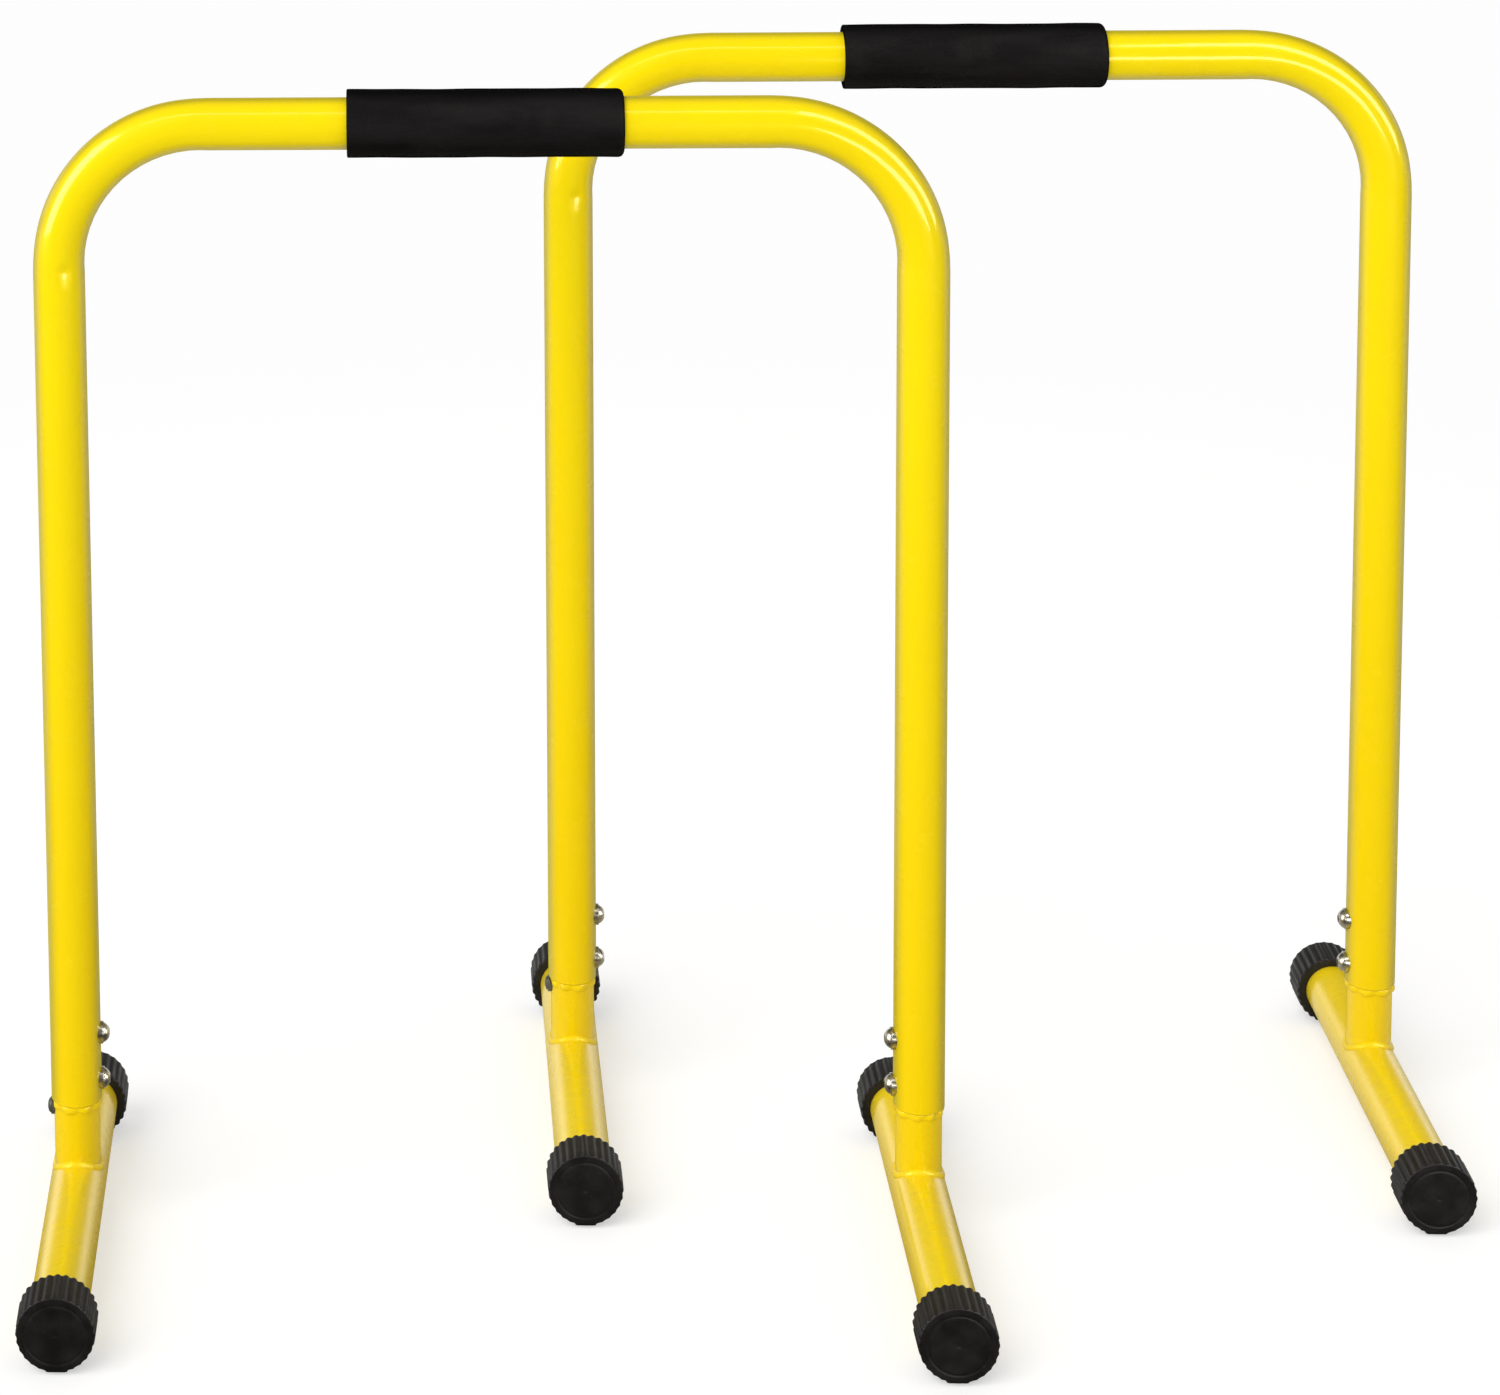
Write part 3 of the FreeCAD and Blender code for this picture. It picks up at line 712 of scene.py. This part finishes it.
def foam(name):
    """Closed-cell foam: fine cells, faint lengthwise grain, soft sheen, handled patches."""
    g = Graph(name)
    o = g.coords()
    cells = g.voronoi(o, 900.0)
    pores = g.remap(g.voronoi(o, 420.0), 0.0, 0.22, 1.0, 0.0, True)
    grain = g.noise(g.coords((0.05, 1.0, 1.0)), 520.0, 3.0, 0.6)
    broad = g.noise(g.coords((0.18, 1.0, 1.0)), 60.0, 3.0, 0.55)
    worn = g.noise(o, 26.0, 3.0, 0.6)
    col = g.mix(g.remap(broad, 0.35, 0.68, 0.0, 1.0, True), (0.0038, 0.0031, 0.0031), (0.0084, 0.0070, 0.0069))
    col = g.mix(g.remap(worn, 0.50, 0.72, 0.0, 0.45, True), col, (0.0125, 0.0106, 0.0102))
    col = g.mix(g.math("MULTIPLY", pores, 0.6), col, (0.004, 0.004, 0.004))
    r = g.remap(worn, 0.3, 0.7, 0.70, 0.56)
    lw = g.node("ShaderNodeLayerWeight")
    lw.inputs["Blend"].default_value = 0.5
    calm = g.remap(lw.outputs["Facing"], 0.30, 0.80, 1.0, 0.0, True)
    # painted shade: the foam is darkened towards its edges and top, where the surface turns away from the eye
    col = g.mix(g.remap(lw.outputs["Facing"], 0.12, 0.60, 0.0, 0.85, True), col, (0.0014, 0.0011, 0.0011))
    h = g.math("ADD", g.math("MULTIPLY", cells, 0.6), g.math("MULTIPLY", grain, 1.1))
    h = g.math("SUBTRACT", h, g.math("MULTIPLY", pores, 0.8))
    n = g.bump(h, 0.75, 0.00034)
    n = g.bump(broad, 0.4, 0.0006, n)
    g.set(color=col, rough=r, spec=g.math("MULTIPLY", calm, 0.07), sheen=0.005, sheen_rough=0.45, sheen_tint=(0.6, 0.58, 0.6), normal=n)
    return g.mat


def cap_rubber(name):
    """Moulded rubber: satin, with fine mould grain, bloom in the hollows and scuffed crowns."""
    g = Graph(name)
    o = g.coords()
    geo = g.node("ShaderNodeNewGeometry")
    grain = g.noise(o, 1500.0, 2.0, 0.6)
    patch = g.noise(o, 60.0, 3.0, 0.6)
    fleck = g.remap(g.noise(o, 420.0, 3.0, 0.65), 0.60, 0.70, 0.0, 1.0, True)
    col = g.mix(g.remap(patch, 0.35, 0.7, 0.0, 1.0, True), (0.0046, 0.0038, 0.0033), (0.0096, 0.0080, 0.0069))
    crown = g.remap(geo.outputs["Pointiness"], 0.505, 0.56, 0.0, 1.0, True)
    hollow = g.remap(geo.outputs["Pointiness"], 0.495, 0.44, 0.0, 1.0, True)
    col = g.mix(g.math("MULTIPLY", crown, g.remap(patch, 0.3, 0.7, 0.15, 0.55)), col, (0.026, 0.0235, 0.021))
    col = g.mix(g.math("MULTIPLY", hollow, 0.30), col, (0.020, 0.018, 0.015))
    col = g.mix(g.math("MULTIPLY", fleck, 0.22), col, (0.040, 0.036, 0.030))
    r = g.remap(patch, 0.3, 0.7, 0.40, 0.56)
    r = g.math("ADD", r, g.math("MULTIPLY", crown, 0.08))
    n = g.bump(grain, 0.5, 0.00005)
    n = g.bump(patch, 0.25, 0.0004, n)
    g.set(color=col, rough=r, spec=0.30, sheen=0.02, sheen_rough=0.4, normal=n)
    return g.mat


def zinc(name):
    """Bright zinc plate: brushed lines, cloudy passivation, painted shade in the hollows."""
    g = Graph(name)
    o = g.coords()
    geo = g.node("ShaderNodeNewGeometry")
    cloud = g.noise(o, 260.0, 4.0, 0.6)
    line = g.noise(g.coords((0.15, 1.0, 1.0)), 2600.0, 2.0, 0.5)
    col = g.mix(g.remap(cloud, 0.35, 0.7, 0.0, 1.0, True), (0.40, 0.375, 0.30), (0.60, 0.565, 0.47))
    # painted shade: the plate is darkened in the hollows, where shade falls
    hollow = g.remap(geo.outputs["Pointiness"], 0.49, 0.40, 0.0, 1.0, True)
    col = g.mix(g.math("MULTIPLY", hollow, 0.7), col, (0.10, 0.09, 0.07))
    r = g.remap(cloud, 0.3, 0.7, 0.24, 0.40)
    n = g.bump(line, 0.25, 0.00003)
    g.set(color=col, metal=1.0, rough=r, normal=n, aniso=0.3)
    return g.mat


def dark_plastic(name):
    g = Graph(name)
    o = g.coords()
    grain = g.noise(o, 1300.0, 3.0, 0.6)
    patch = g.noise(o, 120.0, 2.0)
    geo = g.node("ShaderNodeNewGeometry")
    rub = g.remap(geo.outputs["Pointiness"], 0.51, 0.58, 0.0, 1.0, True)
    col = g.mix(g.remap(patch, 0.3, 0.7, 0.0, 1.0, True), (0.040, 0.042, 0.030), (0.075, 0.075, 0.052))
    col = g.mix(g.math("MULTIPLY", rub, 0.4), col, (0.15, 0.145, 0.11))
    g.set(color=col, rough=g.remap(patch, 0.3, 0.7, 0.38, 0.5), spec=0.45, normal=g.bump(grain, 0.4, 0.00004))
    return g.mat


# leg colours: base, warm, and the darker colour painted on the edges as shade
LEG_COLOURS = ((0.95, 0.755, 0.0011), (0.945, 0.690, 0.0011), (0.47, 0.385, 0.007))
YELLOW = powder_coat("yellow_coat", *LEG_COLOURS, 0.24, 0.50, 0.0, (0.20, 0.72))
# painted light: the feet, lower stubs and foot welds get paler, duller copies of the one yellow coat, standing in for
# the light on the feet
YELLOW_FOOT = powder_coat("yellow_coat_foot", (0.830, 0.630, 0.016), (0.820, 0.585, 0.016), (0.66, 0.490, 0.058), 0.27, 0.66, 0.03,
                          (0.50, 1.0), 0.40, LEG_COLOURS)
YELLOW_WELD = powder_coat("yellow_coat_weld", (0.840, 0.625, 0.012), (0.830, 0.575, 0.012), (0.66, 0.480, 0.040), 0.36, 0.22, 0.03,
                          (0.40, 1.0), 0.50, LEG_COLOURS)
FOAM = foam("grip_foam")
RUBBER = cap_rubber("cap_rubber")
ZINC = zinc("zinc_plate")
STUD = dark_plastic("dark_stud")
FINISH = {"yellow_coat": YELLOW, "yellow_coat_foot": YELLOW_FOOT, "grip_foam": FOAM, "cap_rubber": RUBBER, "zinc_plate": ZINC,
          "dark_stud": STUD}


# ---------------------------------------------------------------- build both bars
def add(ob, body, node, slot, finish=None):
    ob.data.materials.clear()
    ob.data.materials.append(finish or FINISH[slot])
    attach(ob, body)
    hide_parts(node)
    return ob


for b, bar in enumerate(BARS):
    body = bar + "_bar"
    c = bar_centre(bar)
    seed = 1.0 + 3.7 * b
    add(handle_frame(bar + "_bent_tube", c), body, bar + "_handle_frame", "yellow_coat")
    add(grip_sleeve(bar + "_foam_grip", bar + "_grip_sleeve", c, seed), body, bar + "_grip_sleeve", "grip_foam")
    add(stud(bar + "_left_stud", bar + "_left_locating_stud", c), body, bar + "_left_locating_stud", "dark_stud")
    for q, (side, s) in enumerate(SIDES):
        p = bar + "_" + side
        k = seed + 1.3 * q
        add(foot_tube(p + "_foot_pipe", p + "_foot_tube", c, s), body, p + "_foot_tube", "yellow_coat_foot")
        add(spigot(p + "_upright_stub", p + "_spigot", c, s), body, p + "_spigot", "yellow_coat_foot")
        add(foot_weld(p + "_foot_weld_bead", c, s, k), body, p + "_foot_weld", "yellow_coat_foot", YELLOW_WELD)
        add(stop_ring(p + "_stop_ring_bead", p + "_stop_ring", c, s, k), body, p + "_stop_ring", "yellow_coat_foot", YELLOW_WELD)
        add(foot_cap(p + "_toe_rubber", p + "_toe_cap", c, s, -1.0, k), body, p + "_toe_cap", "cap_rubber")
        add(foot_cap(p + "_heel_rubber", p + "_heel_cap", c, s, 1.0, k + 0.6), body, p + "_heel_cap", "cap_rubber")

# carried-over CAD nodes take the detailed finish of their slot
slot_of = {sp["node"]: sp["material_slot"] for sp in frame["record"]["subparts"]}
for node, ob in frame["nodes"].items():
    if ob.hide_render:
        continue
    mat = FINISH[slot_of[node]]
    if len(ob.material_slots) == 0:
        ob.data.materials.append(mat)
    for ms in ob.material_slots:
        ms.material = mat


# ---------------------------------------------------------------- stage: floor, world, lights
lo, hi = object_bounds()
mid = (lo + hi) / 2.0

fm = bpy.data.meshes.new("studio_floor")
E = 30.0
fm.from_pydata([(-E, -E, -0.0002), (E, -E, -0.0002), (E, E, -0.0002), (-E, E, -0.0002)], [], [(0, 1, 2, 3)])
floor = bpy.data.objects.new("studio_floor", fm)
bpy.context.scene.collection.objects.link(floor)
g = Graph("studio_floor")
grain = g.noise(g.coords(), 90.0, 3.0, 0.6)
tone = g.mix(g.remap(grain, 0.3, 0.7), (0.88, 0.88, 0.88), (0.895, 0.893, 0.89))
lp = g.node("ShaderNodeLightPath")
where = g.node("ShaderNodeNewGeometry")
where_xyz = g.node("ShaderNodeSeparateXYZ")
g.put(where_xyz.inputs[0], where.outputs["Position"])
gloss_tone = g.mix(g.remap(where_xyz.outputs["Y"], -0.25, 0.45, 0.0, 1.0, True), (0.050, 0.049, 0.045), (0.90, 0.90, 0.88))
tone = g.mix(lp.outputs["Is Glossy Ray"], tone, gloss_tone)
tone = g.mix(lp.outputs["Is Camera Ray"], tone, (1.12, 1.12, 1.12))
soft = g.node("ShaderNodeBsdfDiffuse")
g.put(soft.inputs["Color"], tone)
# far from the object the paper backdrop is evenly lit
geo = g.node("ShaderNodeNewGeometry")
dist = g.node("ShaderNodeVectorMath", operation="LENGTH")
g.put(dist.inputs[0], geo.outputs["Position"])
far = g.remap(dist.outputs["Value"], 0.7, 2.2, 0.50, 1.0, True)
far = g.math("MULTIPLY", far, lp.outputs["Is Camera Ray"])
glow = g.node("ShaderNodeEmission")
glow.inputs["Color"].default_value = (0.985, 0.985, 0.985, 1.0)
sheet = g.node("ShaderNodeMixShader")
g.put(sheet.inputs[0], far)
g.put(sheet.inputs[1], soft.outputs[0])
g.put(sheet.inputs[2], glow.outputs[0])
g.put(g.out.inputs["Surface"], sheet.outputs[0])
floor.data.materials.append(g.mat)

world = bpy.data.worlds.new("studio")
bpy.context.scene.world = world
world.use_nodes = True
wn = world.node_tree
wn.nodes.clear()
w_out = wn.nodes.new("ShaderNodeOutputWorld")
bg_fill = wn.nodes.new("ShaderNodeBackground")
bg_seen = wn.nodes.new("ShaderNodeBackground")
bg_gloss = wn.nodes.new("ShaderNodeBackground")
bg_fill.inputs["Color"].default_value = (1.0, 0.995, 0.985, 1.0)
bg_fill.inputs["Strength"].default_value = 0.60
bg_seen.inputs["Color"].default_value = (1.0, 1.0, 1.0, 1.0)
bg_seen.inputs["Strength"].default_value = 0.985
# what gloss sees: a dim room with the white sweep's low band behind the object
w_tc = wn.nodes.new("ShaderNodeTexCoord")
w_sep = wn.nodes.new("ShaderNodeSeparateXYZ")
wn.links.new(w_tc.outputs["Generated"], w_sep.inputs[0])


def w_range(sock, lo_in, hi_in, lo_out, hi_out):
    n = wn.nodes.new("ShaderNodeMapRange")
    n.interpolation_type = "SMOOTHSTEP"
    for key, v in (("From Min", lo_in), ("From Max", hi_in), ("To Min", lo_out), ("To Max", hi_out)):
        n.inputs[key].default_value = v
    wn.links.new(sock, n.inputs["Value"])
    return n.outputs["Result"]


def w_math(op, a, b):
    n = wn.nodes.new("ShaderNodeMath")
    n.operation = op
    for sock, v in zip(n.inputs, (a, b)):
        if isinstance(v, bpy.types.NodeSocket):
            wn.links.new(v, sock)
        else:
            sock.default_value = v
    return n.outputs[0]


w_back = w_range(w_sep.outputs["Y"], 0.15, 0.60, 0.0, 1.0)
w_low = w_range(w_sep.outputs["Z"], 0.12, 0.34, 1.0, 0.0)
w_band = w_math("MULTIPLY", w_math("MULTIPLY", w_back, w_low), 1.55)
wn.links.new(w_math("ADD", w_band, 0.11), bg_gloss.inputs["Strength"])
w_lp = wn.nodes.new("ShaderNodeLightPath")
mix1 = wn.nodes.new("ShaderNodeMixShader")
mix2 = wn.nodes.new("ShaderNodeMixShader")
wn.links.new(w_lp.outputs["Is Glossy Ray"], mix1.inputs[0])
wn.links.new(bg_fill.outputs[0], mix1.inputs[1])
wn.links.new(bg_gloss.outputs[0], mix1.inputs[2])
wn.links.new(w_lp.outputs["Is Camera Ray"], mix2.inputs[0])
wn.links.new(mix1.outputs[0], mix2.inputs[1])
wn.links.new(bg_seen.outputs[0], mix2.inputs[2])
wn.links.new(mix2.outputs[0], w_out.inputs["Surface"])


def softbox(name, target, direction, distance, size, radiance, along=None):
    """Softbox seen only in reflections. direction: from the target to the box; along: the box's long axis."""
    d = bpy.data.lights.new(name, "AREA")
    d.shape = "RECTANGLE"
    d.size, d.size_y = size
    d.energy = radiance * math.pi * size[0] * size[1]
    n = Vector(direction).normalized()
    y_axis = Vector(along) if along is not None else Vector((0.0, 0.0, 1.0))
    y_axis = (y_axis - n * y_axis.dot(n)).normalized()
    x_axis = y_axis.cross(n)
    o = bpy.data.objects.new(name, d)
    mw = Matrix((x_axis, y_axis, n)).transposed().to_4x4()
    mw.translation = target + n * distance
    o.matrix_world = mw
    o.visible_camera = False
    o.visible_diffuse = False
    bpy.context.scene.collection.objects.link(o)
    return o


sun_data = bpy.data.lights.new("soft_key", "SUN")
sun_data.energy = 1.95
sun_data.angle = math.radians(50.0)
sun_data.color = (1.0, 0.995, 0.98)
sun = bpy.data.objects.new("soft_key", sun_data)
sun.rotation_euler = Vector((0.47, 0.58, -0.67)).to_track_quat("-Z", "Y").to_euler()
sun.visible_glossy = False
bpy.context.scene.collection.objects.link(sun)
bend = Vector((mid.x, mid.y, hi.z - 0.09))
# a tall box to the left lights the left bends; a long strip from overhead down to the right draws the
# narrow line round the right bends; a faint strip overhead carries it along the top bars
softbox("left_box", bend, (-0.885, -0.344, 0.320), 6.0, (2.9, 4.9), 9.0)
strip_a, strip_b = Vector((0.15, -0.46, 0.87)).normalized(), Vector((0.984, -0.144, -0.070)).normalized()
softbox("right_strip", bend, strip_a + strip_b, 5.4, (1.60, 2.0 * 6.0 * math.sin(strip_a.angle(strip_b) / 2.0)), 10.5, strip_b - strip_a)
softbox("low_box", bend, (0.4545, -0.889, -0.018), 2.53, (1.5, 0.5), 11.0)
softbox("top_strip", bend, (-0.18, -0.50, 0.85), 6.0, (0.7, 4.2), 3.0, (1.0, 0.0, 0.0))

# ---------------------------------------------------------------- camera
scene = bpy.context.scene
scene.view_settings.view_transform = "Standard"
scene.view_settings.look = "None"
front_c = bar_centre("front") * MM
CAM_AT = (-0.0648234, -2.800, 1.5440692)
YAW, PITCH, ROLL = -0.0532, 0.1234, -0.0174
FOCAL_PX, CENTRE_PX = 3929.98, (185.51, -350.68)
IMAGE_W, IMAGE_H = 1500.0, 1395.0

fwd = Vector((math.sin(YAW) * math.cos(PITCH), math.cos(YAW) * math.cos(PITCH), -math.sin(PITCH)))
right = Vector((math.cos(YAW), -math.sin(YAW), 0.0))
up = right.cross(fwd)
cam_x = math.cos(ROLL) * right + math.sin(ROLL) * up
cam_y = -math.sin(ROLL) * right + math.cos(ROLL) * up
cam_data = bpy.data.cameras.new("photo_camera")
cam = bpy.data.objects.new("photo_camera", cam_data)
scene.collection.objects.link(cam)
m = Matrix((cam_x, cam_y, -fwd)).transposed().to_4x4()
m.translation = Vector(front_c) + Vector(CAM_AT)
cam.matrix_world = m
cam_data.sensor_fit = "HORIZONTAL"
cam_data.sensor_width = 36.0
cam_data.lens = FOCAL_PX / IMAGE_W * 36.0
cam_data.clip_start, cam_data.clip_end = 0.05, 80.0
scene.camera = cam

# The photograph's view is off the lens axis, so the lens is shifted there. The shift belongs to that
# one place only: it falls to zero when the camera is moved to look from anywhere else.
home = bpy.data.objects.new("camera_home", None)
home.location = m.translation
scene.collection.objects.link(home)
bpy.context.view_layer.update()
for prop, val in (("shift_x", (IMAGE_W / 2.0 - CENTRE_PX[0]) / IMAGE_W), ("shift_y", (CENTRE_PX[1] - IMAGE_H / 2.0) / IMAGE_W)):
    setattr(cam_data, prop, val)
    curve = cam_data.driver_add(prop)
    curve.driver.type = "SUM"
    v = curve.driver.variables.new()
    v.name = "away"
    v.type = "LOC_DIFF"
    v.targets[0].id = cam
    v.targets[1].id = home
    for mod in list(curve.modifiers):
        curve.modifiers.remove(mod)
    while len(curve.keyframe_points):
        curve.keyframe_points.remove(curve.keyframe_points[0])
    curve.extrapolation = "CONSTANT"
    # distance from home in metres -> shift
    for away, shift in ((0.0, val), (0.02, val), (0.05, 0.0)):
        curve.keyframe_points.insert(away, shift).interpolation = "LINEAR"
bpy.context.view_layer.update()
